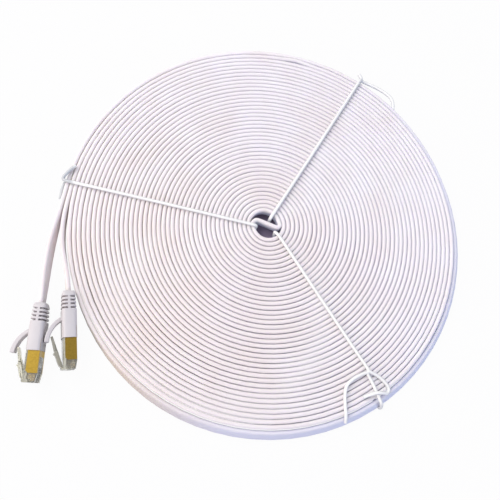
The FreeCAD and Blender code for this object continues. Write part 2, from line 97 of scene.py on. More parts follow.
# The picture's view, about the coil's axis
CAMERA_EYE = Vector((-42.65, -96.44, 302.78))
CAMERA_SIDE = Vector((0.9894, 0.0594, 0.1325))
CAMERA_BACK = Vector((-0.1123, -0.2655, 0.9575))
CAMERA_LENS = 40.32

# Places of the painted warm light and painted shade in the frame, in metres
# The jacket's painted warm light, round a point at the lower left
WARM_CORNER = (-0.055, -0.055, 0.005)
WARM_REACH = (0.02, 0.125)
# The jacket's painted shade: its heights, its turn from warm to cool across X, and the free ends it spares
SHADED_HEIGHTS = (0.0055, 0.0082)
SHADE_TURNS_COOL = (-0.060, -0.010)
FREE_ENDS = (-0.098, -0.104)
# Where the ties' painted shade begins beyond the left rim
TIE_RIM = (-0.0985, -0.1010)

# The floor's rings about the coil's axis
HOLE_RING = (13.0 * MM, 15.0 * MM)
RIM_RING = (101.0 * MM, 106.0 * MM)
FLOOR_COLOUR = (0.60, 0.58, 0.64)
# Painted shade: the floor's colour in the hole
HOLE_PAINTED_SHADE = (0.26, 0.215, 0.30)

# The cable's free ends in the frame, from the coil to the boot
LEFT_LEAD = [
    (-0.10430, -0.00129, 0.00513),
    (-0.10590, -0.01211, 0.00542),
    (-0.10668, -0.02278, 0.00587),
    (-0.10690, -0.03342, 0.00631),
    (-0.10655, -0.04560, 0.00660),
    (-0.10640, -0.05420, 0.00660),
]
LEFT_TWIST = [0.08, 0.20, 0.33, 0.34, 0.20, 0.06]
RIGHT_LEAD = [
    (-0.10205, -0.00160, 0.00513),
    (-0.10225, -0.01148, 0.00523),
    (-0.10110, -0.02113, 0.00591),
    (-0.09885, -0.02963, 0.00659),
    (-0.09575, -0.03871, 0.00708),
    (-0.09420, -0.04720, 0.00708),
]
RIGHT_TWIST = [0.0, 0.0, -0.03, -0.08, -0.18, -0.244]

# How far each point of the fold has slid in the hole, in millimetres
FOLD_SLIDES = [(-0.1, 1.1), (0.2, 1.6), (0.4, 1.7), (0.6, 1.7), (0.6, 1.4), (0.3, 0.9)]


class CableSizes(bpy.types.PropertyGroup):
    width: bpy.props.FloatProperty(
        name="Width", description="Wide side of the flat cable", default=6.6 * MM, unit="LENGTH")
    thickness: bpy.props.FloatProperty(
        name="Thickness", description="Narrow side of the flat cable", default=2.30 * MM, unit="LENGTH")
    wrap_gap: bpy.props.FloatProperty(
        name="Wrap gap", description="Gap between neighbouring wraps", default=0.15 * MM, unit="LENGTH")
    first_radius: bpy.props.FloatProperty(
        name="First radius", description="Middle line of the innermost wrap",
        default=9.4 * MM, unit="LENGTH")
    fold_radius: bpy.props.FloatProperty(
        name="Fold radius", description="Bends of the fold in the hole", default=2.5 * MM, unit="LENGTH")
    middle_height: bpy.props.FloatProperty(
        name="Middle height", description="Middle of the winding above the surface",
        default=5.13 * MM, unit="LENGTH")
    outer_lean: bpy.props.FloatProperty(
        name="Outer lean", description="Lean of the outermost wrap where it flares",
        default=math.radians(33.0), subtype="ANGLE")
    waver: bpy.props.FloatProperty(
        name="Waver", description="How far a wrap strays from its circle", default=0.1 * MM, unit="LENGTH")
    spread: bpy.props.FloatProperty(
        name="Spread", description="How far the rim lies outside an even winding",
        default=1.6 * MM, unit="LENGTH")
    drift: bpy.props.FloatVectorProperty(
        name="Drift", description="How far the rim has slid from the middle of the ties",
        default=(1.7 * MM, -0.9 * MM), size=2, unit="LENGTH")
    hole_squeeze: bpy.props.FloatProperty(
        name="Hole squeeze", description="How far the innermost wrap is pulled in",
        default=-0.6 * MM, unit="LENGTH")
    hole_shift: bpy.props.FloatVectorProperty(
        name="Hole shift", description="Where the innermost wrap has slid",
        default=(0.2 * MM, 0.9 * MM), size=2, unit="LENGTH")
    tie_diameter: bpy.props.FloatProperty(
        name="Tie diameter", description="Coated wire of the ties", default=2.0 * MM, unit="LENGTH")


class PlugSizes(bpy.types.PropertyGroup):
    left_turn: bpy.props.FloatProperty(
        name="Left turn", description="Left plug in plan, from the -Y direction",
        default=math.radians(1.5), subtype="ANGLE")
    right_turn: bpy.props.FloatProperty(
        name="Right turn", description="Right plug in plan, from the -Y direction",
        default=math.radians(9.0), subtype="ANGLE")
    right_lean: bpy.props.FloatProperty(
        name="Right lean", description="Right plug about its own length",
        default=math.radians(14.0), subtype="ANGLE")
    boot_width: bpy.props.FloatProperty(
        name="Boot width", description="Boot across its wide side", default=13.2 * MM, unit="LENGTH")
    boot_depth: bpy.props.FloatProperty(
        name="Boot depth", description="Boot from latch side to contact side",
        default=7.8 * MM, unit="LENGTH")


class FinishColours(bpy.types.PropertyGroup):
    jacket: bpy.props.FloatVectorProperty(
        name="Jacket", description="Cable jacket", subtype="COLOR", default=(0.80, 0.775, 0.80))
    tie: bpy.props.FloatVectorProperty(
        name="Tie", description="Coating of the wire ties", subtype="COLOR", default=(0.90, 0.90, 0.88))
    boot: bpy.props.FloatVectorProperty(
        name="Boot", description="Boot and lever", subtype="COLOR", default=(0.61, 0.58, 0.59))
    clear: bpy.props.FloatVectorProperty(
        name="Clear plastic", description="Plug body and latch", subtype="COLOR", default=(0.56, 0.57, 0.56))
    shell: bpy.props.FloatVectorProperty(
        name="Plating", description="Plated shell", subtype="COLOR", default=(0.40, 0.265, 0.045))
    contact: bpy.props.FloatVectorProperty(
        name="Contacts", description="Plated contact blades", subtype="COLOR", default=(0.40, 0.28, 0.09))


class StageSettings(bpy.types.PropertyGroup):
    key: bpy.props.FloatProperty(
        name="Key", description="Power of the lamp on the left, in watts", default=13.2)
    sky: bpy.props.FloatProperty(
        name="Sky", description="Strength of the light from all round", default=0.68)
    floor_size: bpy.props.FloatProperty(
        name="Floor size", description="Side of the floor", default=6.0, unit="LENGTH")


# Shader pieces

def node(tree, kind, at, **inputs):
    """A shader node with some of its inputs set."""
    new = tree.nodes.new(kind)
    new.location = at
    for name, value in inputs.items():
        new.inputs[name.replace("_", " ")].default_value = value
    return new


def doing(tree, kind, at, operation):
    """A maths node that carries out an operation."""
    new = node(tree, kind, at)
    new.operation = operation
    return new


def colour_mix(tree, at, first=None, second=None):
    """A colour mix node, with its colours set where they're given."""
    mix = node(tree, "ShaderNodeMix", at)
    mix.data_type = "RGBA"
    for socket, colour in ((6, first), (7, second)):
        if colour is not None:
            mix.inputs[socket].default_value = (*colour, 1.0)
    return mix


def grain_group():
    """Soft mottling and a fine skin for moulded and extruded plastic."""
    made = bpy.data.node_groups.get("Moulded grain")
    if made:
        return made
    tree = bpy.data.node_groups.new("Moulded grain", "ShaderNodeTree")
    side = tree.interface
    for name, kind, value in (
        ("Light", "NodeSocketColor", (0.8, 0.8, 0.8, 1.0)),
        ("Dark", "NodeSocketColor", (0.6, 0.6, 0.6, 1.0)),
        ("Mottle", "NodeSocketFloat", 60.0),
        ("Skin", "NodeSocketFloat", 2500.0),
        ("Roughness", "NodeSocketFloat", 0.45),
    ):
        socket = side.new_socket(name=name, in_out="INPUT", socket_type=kind)
        socket.default_value = value
    side.new_socket(name="Color", in_out="OUTPUT", socket_type="NodeSocketColor")
    side.new_socket(name="Roughness", in_out="OUTPUT", socket_type="NodeSocketFloat")
    side.new_socket(name="Height", in_out="OUTPUT", socket_type="NodeSocketFloat")
    enter = node(tree, "NodeGroupInput", (-900, 0))
    leave = node(tree, "NodeGroupOutput", (600, 0))
    place = node(tree, "ShaderNodeTexCoord", (-900, -300))
    broad = node(tree, "ShaderNodeTexNoise", (-600, 100), Detail=3.0, Roughness=0.55)
    fine = node(tree, "ShaderNodeTexNoise", (-600, -200), Detail=2.0, Roughness=0.6)
    spread = node(tree, "ShaderNodeMapRange", (-350, 100), From_Min=0.35, From_Max=0.7)
    mix = colour_mix(tree, (0, 150))
    rough = doing(tree, "ShaderNodeMath", (0, -100), "MULTIPLY_ADD")
    rough.inputs[1].default_value = 0.16
    link = tree.links.new
    for tex in (broad, fine):
        link(place.outputs["Object"], tex.inputs["Vector"])
    link(enter.outputs["Mottle"], broad.inputs["Scale"])
    link(enter.outputs["Skin"], fine.inputs["Scale"])
    link(broad.outputs["Fac"], spread.inputs["Value"])
    link(spread.outputs["Result"], mix.inputs[0])
    link(enter.outputs["Light"], mix.inputs[6])
    link(enter.outputs["Dark"], mix.inputs[7])
    link(fine.outputs["Fac"], rough.inputs[0])
    link(enter.outputs["Roughness"], rough.inputs[2])
    link(mix.outputs[2], leave.inputs["Color"])
    link(rough.outputs["Value"], leave.inputs["Roughness"])
    link(fine.outputs["Fac"], leave.inputs["Height"])
    return tree


def new_material(name):
    """A material with a Principled shader, its node tree and that shader."""
    material = bpy.data.materials.new(name)
    material.use_nodes = True
    tree = material.node_tree
    return material, tree, tree.nodes["Principled BSDF"]


def grained(name, light, dark, mottle, skin, roughness, bump):
    """A plastic whose colour, roughness and skin come from the grain group."""
    material, tree, shader = new_material(name)
    grain = node(tree, "ShaderNodeGroup", (-500, 0))
    grain.node_tree = grain_group()
    grain.inputs["Light"].default_value = (*light, 1.0)
    grain.inputs["Dark"].default_value = (*dark, 1.0)
    grain.inputs["Mottle"].default_value = mottle
    grain.inputs["Skin"].default_value = skin
    grain.inputs["Roughness"].default_value = roughness
    relief = node(tree, "ShaderNodeBump", (-250, -250), Strength=bump, Distance=0.0001)
    link = tree.links.new
    link(grain.outputs["Color"], shader.inputs["Base Color"])
    link(grain.outputs["Roughness"], shader.inputs["Roughness"])
    link(grain.outputs["Height"], relief.inputs["Height"])
    link(relief.outputs["Normal"], shader.inputs["Normal"])
    return material, tree, shader


def shade(colour, factor):
    """A colour made darker or brighter."""
    return tuple(c * factor for c in colour)


def jacket_material(colour):
    """Matt white jacket, warmer at the lower left from painted warm light, and darker low down from painted shade,
    except at the left edge.
    """
    material = bpy.data.materials.get("Cable jacket")
    if material:
        return material
    warm = (colour[0] * 0.97, colour[1] * 0.94, colour[2] * 0.92)
    material, tree, shader = grained("Cable jacket", colour, warm, 45.0, 1800.0, 0.5, 0.2)
    place = node(tree, "ShaderNodeTexCoord", (-900, 500))
    # Painted warm light at the lower left
    away = doing(tree, "ShaderNodeVectorMath", (-700, 500), "DISTANCE")
    away.inputs[1].default_value = WARM_CORNER
    painted_warm_light = node(tree, "ShaderNodeMapRange", (-500, 500), From_Min=WARM_REACH[0], From_Max=WARM_REACH[1],
                To_Min=1.0, To_Max=0.0)
    tint = colour_mix(tree, (-150, 400), second=(1.0, 0.96, 0.92))
    tint.blend_type = "MULTIPLY"
    link = tree.links.new
    link(place.outputs["Object"], away.inputs[0])
    link(away.outputs["Value"], painted_warm_light.inputs["Value"])
    link(painted_warm_light.outputs["Result"], tint.inputs[0])
    # Painted shade low down, warm on the left and cool on the right, sparing the free ends
    parts = node(tree, "ShaderNodeSeparateXYZ", (-700, 800))
    depth = node(tree, "ShaderNodeMapRange", (-500, 800), From_Min=SHADED_HEIGHTS[0], From_Max=SHADED_HEIGHTS[1])
    deep = colour_mix(tree, (-150, 700))
    painted_shade_colour = colour_mix(tree, (-350, 950), (0.60, 0.55, 0.50), (0.64, 0.66, 0.79))
    across = node(tree, "ShaderNodeMapRange", (-500, 1100),
                  From_Min=SHADE_TURNS_COOL[0], From_Max=SHADE_TURNS_COOL[1])
    free_end = node(tree, "ShaderNodeMapRange", (-500, 600), From_Min=FREE_ENDS[0], From_Max=FREE_ENDS[1])
    bright = doing(tree, "ShaderNodeMath", (-330, 700), "MAXIMUM")
    link(parts.outputs["X"], across.inputs["Value"])
    link(parts.outputs["X"], free_end.inputs["Value"])
    link(across.outputs["Result"], painted_shade_colour.inputs[0])
    link(painted_shade_colour.outputs[2], deep.inputs[6])
    link(depth.outputs["Result"], bright.inputs[0])
    link(free_end.outputs["Result"], bright.inputs[1])
    link(place.outputs["Object"], parts.inputs["Vector"])
    link(parts.outputs["Z"], depth.inputs["Value"])
    link(bright.outputs["Value"], deep.inputs[0])
    link(shader.inputs["Base Color"].links[0].from_socket, deep.inputs[7])
    link(deep.outputs[2], tint.inputs[6])
    link(tint.outputs[2], shader.inputs["Base Color"])
    shader.inputs["Subsurface Weight"].default_value = 0.45
    shader.inputs["Subsurface Radius"].default_value = (1.0, 0.9, 1.1)
    shader.inputs["Subsurface Scale"].default_value = 0.0014
    shader.inputs["Specular IOR Level"].default_value = 0.22
    return material


def tie_material(colour):
    """Smooth white coating with slight ripples, greyer from painted shade at its edges and beyond the left rim."""
    material, tree, shader = grained("Tie coating", colour, shade(colour, 0.92), 120.0, 900.0, 0.28, 0.35)
    # Painted shade: greyer where the wire turns away from view and where it hangs beyond the left rim
    edge = node(tree, "ShaderNodeLayerWeight", (-500, 400), Blend=0.35)
    rim = colour_mix(tree, (-150, 400), second=(colour[0] * 0.58, colour[1] * 0.60, colour[2] * 0.63))
    place = node(tree, "ShaderNodeTexCoord", (-900, 700))
    parts = node(tree, "ShaderNodeSeparateXYZ", (-700, 700))
    outer = node(tree, "ShaderNodeMapRange", (-500, 700), From_Min=TIE_RIM[0], From_Max=TIE_RIM[1])
    share = doing(tree, "ShaderNodeMath", (-300, 600), "MAXIMUM")
    link = tree.links.new
    link(place.outputs["Object"], parts.inputs["Vector"])
    link(parts.outputs["X"], outer.inputs["Value"])
    link(edge.outputs["Facing"], share.inputs[0])
    link(outer.outputs["Result"], share.inputs[1])
    link(share.outputs["Value"], rim.inputs[0])
    link(shader.inputs["Base Color"].links[0].from_socket, rim.inputs[6])
    link(rim.outputs[2], shader.inputs["Base Color"])
    shader.inputs["Specular IOR Level"].default_value = 0.45
    return material


def boot_material(colour):
    """Moulded rubbery plastic, satin."""
    return grained("Boot plastic", colour, shade(colour, 0.94), 90.0, 2600.0, 0.4, 0.3)[0]


def clear_material(name, colour, clearness):
    """Clear polished plastic with a faint grey cast and flow marks."""
    material, tree, shader = new_material(name)
    place = node(tree, "ShaderNodeTexCoord", (-900, 0))
    flow = node(tree, "ShaderNodeTexNoise", (-700, 0), Scale=300.0, Detail=2.0)
    relief = node(tree, "ShaderNodeBump", (-300, -200), Strength=0.55, Distance=0.0004)
    rough = node(tree, "ShaderNodeMapRange", (-300, 100), To_Min=0.04, To_Max=0.2)
    link = tree.links.new
    link(place.outputs["Object"], flow.inputs["Vector"])
    link(flow.outputs["Fac"], relief.inputs["Height"])
    link(flow.outputs["Fac"], rough.inputs["Value"])
    link(rough.outputs["Result"], shader.inputs["Roughness"])
    link(relief.outputs["Normal"], shader.inputs["Normal"])
    tint = colour_mix(tree, (-300, 350), colour, (colour[0] * 1.3, colour[1] * 1.2, colour[2] * 0.9))
    link(flow.outputs["Fac"], tint.inputs[0])
    link(tint.outputs[2], shader.inputs["Base Color"])
    shader.inputs["Transmission Weight"].default_value = clearness
    shader.inputs["IOR"].default_value = 1.5
    return material


def plated_material(name, colour, dark, roughness):
    """Gold plating with brushed streaks and dull spots."""
    material, tree, shader = new_material(name)
    place = node(tree, "ShaderNodeTexCoord", (-1100, 0))
    stretch = node(tree, "ShaderNodeMapping", (-900, 0), Scale=(2600.0, 500.0, 2600.0))
    brushed = node(tree, "ShaderNodeTexNoise", (-700, 100), Scale=1.0, Detail=3.0)
    spots = node(tree, "ShaderNodeTexNoise", (-700, -200), Scale=1500.0, Detail=2.0, Roughness=0.6)
    dull = node(tree, "ShaderNodeMapRange", (-450, -200), From_Min=0.4, From_Max=0.8, To_Max=0.6)
    mix = colour_mix(tree, (-200, 150), colour, dark)
    rough = node(tree, "ShaderNodeMapRange", (-200, -100), To_Min=roughness, To_Max=roughness + 0.22)
    relief = node(tree, "ShaderNodeBump", (-200, -350), Strength=0.25, Distance=0.00005)
    link = tree.links.new
    link(place.outputs["Object"], stretch.inputs["Vector"])
    link(stretch.outputs["Vector"], brushed.inputs["Vector"])
    link(place.outputs["Object"], spots.inputs["Vector"])
    link(spots.outputs["Fac"], dull.inputs["Value"])
    link(dull.outputs["Result"], mix.inputs[0])
    link(mix.outputs[2], shader.inputs["Base Color"])
    link(brushed.outputs["Fac"], rough.inputs["Value"])
    link(rough.outputs["Result"], shader.inputs["Roughness"])
    link(brushed.outputs["Fac"], relief.inputs["Height"])
    link(relief.outputs["Normal"], shader.inputs["Normal"])
    shader.inputs["Metallic"].default_value = 1.0
    return material


def wire_material(side, middle, across):
    """Insulation in eight colours, one for each wire across the plug."""
    material, tree, shader = new_material("Wire colours " + side)
    place = node(tree, "ShaderNodeTexCoord", (-1100, 0))
    origin = doing(tree, "ShaderNodeVectorMath", (-900, 0), "SUBTRACT")
    origin.inputs[1].default_value = middle
    along = doing(tree, "ShaderNodeVectorMath", (-700, 0), "DOT_PRODUCT")
    along.inputs[1].default_value = across
    step = node(tree, "ShaderNodeMapRange", (-500, 0), From_Min=-4.08 * MM, From_Max=4.08 * MM)
    ramp = node(tree, "ShaderNodeValToRGB", (-300, 0))
    ramp.color_ramp.interpolation = "CONSTANT"
    colours = [
        (0.75, 0.55, 0.42), (0.62, 0.18, 0.03), (0.50, 0.66, 0.48), (0.03, 0.08, 0.40),
        (0.52, 0.60, 0.74), (0.03, 0.26, 0.07), (0.60, 0.50, 0.42), (0.16, 0.07, 0.03),
    ]
    points = ramp.color_ramp.elements
    while len(points) < len(colours):
        points.new(0.5)
    for i, colour in enumerate(colours):
        points[i].position = i / len(colours)
        points[i].color = (*colour, 1.0)
    link = tree.links.new
    link(place.outputs["Object"], origin.inputs[0])
    link(origin.outputs["Vector"], along.inputs[0])
    link(along.outputs["Value"], step.inputs["Value"])
    link(step.outputs["Result"], ramp.inputs["Fac"])
    link(ramp.outputs["Color"], shader.inputs["Base Color"])
    shader.inputs["Roughness"].default_value = 0.35
    return material


# Mesh pieces

def finish_piece(bm, name, material, body, nodes, place):
    """Make a mesh object of a bmesh that was shaped in a plug's own axes, and seat it on the frame."""
    bmesh.ops.transform(bm, matrix=Matrix.Scale(MM, 4) @ place, verts=bm.verts)
    bmesh.ops.remove_doubles(bm, verts=bm.verts, dist=1e-7)
    bmesh.ops.recalc_face_normals(bm, faces=bm.faces)
    mesh = bpy.data.meshes.new(name)
    bm.to_mesh(mesh)
    bm.free()
    return seat(bpy.data.objects.new(name, mesh), material, body, nodes)


def seat(piece, material, body, nodes):
    """Link a finished piece, give it its material and let it ride on its body."""
    bpy.context.scene.collection.objects.link(piece)
    piece.data.materials.clear()
    piece.data.materials.append(material)
    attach(piece, body)
    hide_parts(*nodes)
    return piece


def smooth(piece, angle):
    """Smooth shading with edges sharper than the angle kept crisp."""
    mesh = piece.data
    for face in mesh.polygons:
        face.use_smooth = True
    mesh.set_sharp_from_angle(angle=angle)


def rounding(piece, width, segments):
    """Smooth shading and a live bevel on the piece's sharp edges."""
    smooth(piece, SHARP_EDGE)
    bevel = piece.modifiers.new("Rounded edges", "BEVEL")
    bevel.width = width
    bevel.segments = segments
    bevel.limit_method = "ANGLE"
    bevel.angle_limit = SHARP_EDGE


def softened(node_name, name, width, segments, material, body):
    """A merged copy of a frame solid with its edges rounded."""
    bm = bmesh.new()
    bm.from_mesh(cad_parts[node_name].data)
    bmesh.ops.remove_doubles(bm, verts=bm.verts, dist=2e-6)
    bmesh.ops.dissolve_limit(bm, angle_limit=math.radians(1.0), verts=bm.verts, edges=bm.edges)
    edges = [e for e in bm.edges if len(e.link_faces) == 2 and e.calc_face_angle(0.0) > math.radians(28.0)]
    bmesh.ops.bevel(bm, geom=edges, offset=width, offset_type="OFFSET", segments=segments, profile=0.5,
                    affect="EDGES", clamp_overlap=True, material=-1)
    mesh = bpy.data.meshes.new(name)
    bm.to_mesh(mesh)
    bm.free()
    piece = seat(bpy.data.objects.new(name, mesh), material, body, [node_name])
    smooth(piece, math.radians(32.0))
    return piece


def section_face(bm, x, half_y, half_z, corner, segments=3):
    """A rounded rectangle across the plug, as one face."""
    corners = [(half_y, half_z), (-half_y, half_z), (-half_y, -half_z), (half_y, -half_z)]
    face = bm.faces.new([bm.verts.new((x, y, z)) for y, z in corners])
    bmesh.ops.bevel(bm, geom=list(face.verts), offset=corner, offset_type="OFFSET", segments=segments,
                    profile=0.5, affect="VERTICES", clamp_overlap=True, material=-1)
    return max(bm.faces, key=lambda f: f.calc_area())


def carry(bm, face, x, half_y, half_z, now):
    """Extrude a face across the plug to a new place and size, and return it."""
    made = bmesh.ops.extrude_face_region(bm, geom=[face])
    bmesh.ops.delete(bm, geom=[face], context="FACES_ONLY")
    verts = [g for g in made["geom"] if isinstance(g, bmesh.types.BMVert)]
    bmesh.ops.translate(bm, vec=(x - now[0], 0, 0), verts=verts)
    bmesh.ops.scale(bm, vec=(1.0, half_y / now[1], half_z / now[2]), verts=verts)
    return next(g for g in made["geom"] if isinstance(g, bmesh.types.BMFace))


def plug_place(x, y, turn, lean, half_width, half_depth):
    """Where a plug lies on the surface, in millimetres."""
    height = max(half_width * math.cos(lean) + (half_depth - BOOT_CORNER) * math.sin(lean),
                 (half_width - BOOT_CORNER) * math.cos(lean) + half_depth * math.sin(lean))
    swing = Matrix.Rotation(turn - math.pi / 2.0, 4, "Z") @ Matrix.Rotation(-lean, 4, "X")
    return Matrix.Translation((x + COIL_AXIS.x, y + COIL_AXIS.y, height)) @ swing


def plug_places():
    """Both plugs' places."""
    sizes = bpy.context.scene.plug_sizes
    half_width = sizes.boot_width / MM / 2.0
    half_depth = sizes.boot_depth / MM / 2.0
    left = plug_place(*LEFT_PLUG, sizes.left_turn, 0.0, half_width, half_depth)
    right = plug_place(*RIGHT_PLUG, sizes.right_turn, sizes.right_lean, half_width, half_depth)
    return {"left": left, "right": right}


# The cable's route

def arc_controls(centre_x, radius, start, sweep, steps):
    """Control points whose smooth line is an arc about a point on the coil's own X axis."""
    step = sweep / steps
    reach = radius / math.cos(step / 2.0)
    found = []
    for i in range(steps):
        a = start + (i + 0.5) * step
        found.append((centre_x + reach * math.cos(a), reach * math.sin(a), a))
    return found


def arm_controls(arm, first_radius, pitch):
    """One arm of the cable from the fold outwards, half turn by half turn."""
    points = []
    last = LAST_HALF_TURN[arm]
    for k in range(last + 1):
        upper = (k % 2 == 0) == (arm == "inner")
        centre = -pitch / 2.0 if upper else pitch / 2.0
        start = 0.0 if upper else math.pi
        sweep = COIL_END - COIL_TURN if k == last else math.pi
        for x, y, a in arc_controls(centre, first_radius + k * pitch, start, sweep, HALF_TURN_STEPS):
            points.append((x, y, a + COIL_TURN, k))
    return points


def smoothstep(a, b, x):
    """From 0 at a to 1 at b, with soft ends."""
    t = min(1.0, max(0.0, (x - a) / (b - a)))
    return t * t * (3.0 - 2.0 * t)


def flare(angle):
    """How far the outermost wrap leans out at a place round the rim, from 0 to 1."""
    degrees = math.degrees(angle) % 360.0
    if degrees > 180.0:
        return smoothstep(*FLARE_RISE, degrees)
    return 1.0 - smoothstep(*FLARE_FALL, degrees)


def stray(k, angle, seed):
    """A smooth waver that differs from wrap to wrap."""
    at = Vector((math.cos(angle) * 1.6, math.sin(angle) * 1.6, k * 1.7 + seed))
    return noise.noise(at) + 0.5 * noise.noise(at * 2.7)


def settle(sizes, x, y):
    """The winding isn't quite round: the hole and the rim have each slid a little."""
    r = math.hypot(x, y)
    share = (r - WINDING_EDGE) / WINDING_DEPTH
    grow = (sizes.hole_squeeze * (1.0 - share) + sizes.spread * share) / MM / r
    slide = [(a * (1.0 - share) + b * share) / MM for a, b in zip(sizes.hole_shift, sizes.drift)]
    return x * (1.0 + grow) + slide[0], y * (1.0 + grow) + slide[1]


def coil_points(sizes, arm):
    """Points of one arm with height and outward lean: (x, y, z, lean), in millimetres."""
    pitch = (sizes.thickness + sizes.wrap_gap) / MM
    radius = sizes.first_radius / MM
    half = sizes.width / MM / 2.0
    seed = 0.0 if arm == "inner" else 50.0
    last = LAST_HALF_TURN[arm]
    found = []
    for x, y, angle, k in arm_controls(arm, radius, pitch):
        lean = LEAN_WAVER * stray(k, angle, seed + 20.0)
        out = sizes.waver / MM * stray(k, angle, seed)
        z = sizes.middle_height / MM + HEIGHT_WAVER * stray(k, angle, seed + 9.0)
        if k >= LOOSE_FROM:
            near = smoothstep(190.0, 225.0, math.degrees(angle) % 360.0)
            out += 0.1 * near * flare(angle + math.radians(140.0))
        if arm == "outer" and k >= last - 1:
            share = flare(angle)
            lean += sizes.outer_lean * share
            out += FLARE_OUT * half * math.sin(sizes.outer_lean * share)
            z -= FLARE_SAG * share
        away = Vector((x, y)).normalized() * out
        turned = Matrix.Rotation(COIL_TURN, 2) @ (Vector((x, y)) + away)
        found.append((*settle(sizes, turned.x, turned.y), z, lean))
    return found


def fold_points(sizes):
    """The fold in the hole, from the start of the inner arm to the start of the outer arm."""
    pitch = (sizes.thickness + sizes.wrap_gap) / MM
    side = sizes.first_radius / MM - pitch / 2.0
    r = sizes.fold_radius / MM
    corner = r * math.tan(math.radians(22.5))
    near = side - r + corner
    bend = side - r - r * math.tan(math.radians(13.0))
    half = [(side, -corner), (near, -r), (bend, -r)]
    both = half + [(-x, -y) for x, y in reversed(half)]
    z = sizes.middle_height / MM
    found = []
    for (x, y), slide in zip(both, FOLD_SLIDES):
        turned = Matrix.Rotation(COIL_TURN, 2) @ Vector((x, y)) + Vector(slide)
        found.append((turned.x, turned.y, z + FOLD_RISE, 0.0))
    return found


def cable_route(sizes):
    """The whole cable from the left plug's boot to the right plug's: (x, y, z, tilt) in metres."""
    def to_frame(points, sign):
        found = []
        for x, y, z, lean in points:
            found.append(((x + COIL_AXIS.x) * MM, (y + COIL_AXIS.y) * MM, z * MM, sign * lean))
        return found

    left = [(*p, -t) for p, t in zip(LEFT_LEAD, LEFT_TWIST)]
    right = [(*p, t) for p, t in zip(RIGHT_LEAD, RIGHT_TWIST)]
    outer = to_frame(coil_points(sizes, "outer"), 1.0)
    inner = to_frame(coil_points(sizes, "inner"), -1.0)
    fold = to_frame(fold_points(sizes), 1.0)
    return left[::-1] + outer[::-1] + fold[::-1] + inner + right


def spline_curve(name, points, resolution):
    """A smooth open line with the points as its control points."""
    curve = bpy.data.curves.new(name, "CURVE")
    curve.dimensions = "3D"
    curve.twist_mode = "Z_UP"
    curve.resolution_u = resolution
    curve.render_resolution_u = 0
    line = curve.splines.new("NURBS")
    line.points.add(len(points) - 1)
    for control, p in zip(line.points, points):
        control.co = (p[0], p[1], p[2], 1.0)
        control.tilt = p[3] if len(p) > 3 else 0.0
    line.order_u = 3
    line.use_endpoint_u = True
    line.use_smooth = True
    return curve


def strip_profile(width, thickness):
    """The flat cable's section, with rounded edges, as a closed line."""
    curve = bpy.data.curves.new("Cable section", "CURVE")
    curve.dimensions = "2D"
    half_w, half_t = width / 2.0, thickness / 2.0
    r = half_t * 0.9
    line = curve.splines.new("POLY")
    ring = []
    for cx, cy, start in ((half_t - r, half_w - r, 0.0), (r - half_t, half_w - r, 90.0),
                          (r - half_t, r - half_w, 180.0), (half_t - r, r - half_w, 270.0)):
        for i in range(4):
            a = math.radians(start + 30.0 * i)
            ring.append((cx + r * math.cos(a), cy + r * math.sin(a)))
    line.points.add(len(ring) - 1)
    for control, (x, y) in zip(line.points, ring):
        control.co = (x, y, 0.0, 1.0)
    line.use_cyclic_u = True
    return bpy.data.objects.new("Cable section", curve)


class BuildCable(bpy.types.Operator):
    """The flat cable from plug to plug: both free ends, the winding and its fold"""

    bl_idname = "cable.build_cable"
    bl_label = "Flat Cable"

    def execute(self, context):
        sizes = context.scene.cable_sizes
        colours = context.scene.finish_colours
        route = cable_route(sizes)
        curve = spline_curve("flat_cable", route, 3)
        section = strip_profile(sizes.width, sizes.thickness)
        context.scene.collection.objects.link(section)
        curve.bevel_mode = "OBJECT"
        curve.bevel_object = section
        curve.use_fill_caps = True
        flat = bpy.data.objects.new("flat_cable_line", curve)
        context.scene.collection.objects.link(flat)
        context.view_layer.update()
        mesh = bpy.data.meshes.new_from_object(flat.evaluated_get(context.evaluated_depsgraph_get()))
        mesh.name = "flat_cable"
        curve.bevel_object = None
        curve.bevel_mode = "ROUND"
        context.view_layer.update()
        line = bpy.data.meshes.new_from_object(flat.evaluated_get(context.evaluated_depsgraph_get()))
        bpy.data.objects.remove(flat)
        bpy.data.objects.remove(section)
        piece = bpy.data.objects.new("flat_cable", mesh)
        seat(piece, jacket_material(colours.jacket), "cable", ["cable_coil", "left_lead", "right_lead"])
        smooth(piece, math.radians(60.0))
        plug = [bpy.data.objects["right_" + n] for n in (
            "boot_sleeve", "boot_ribs", "latch_lever", "clear_body", "clear_latch", "plated_shell")]
        plug += [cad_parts["right_" + n] for n in ("contacts", "wires", "load_bar", "jacket_end")]
        return {"FINISHED"}


# Ties, in millimetres from the coil's axis

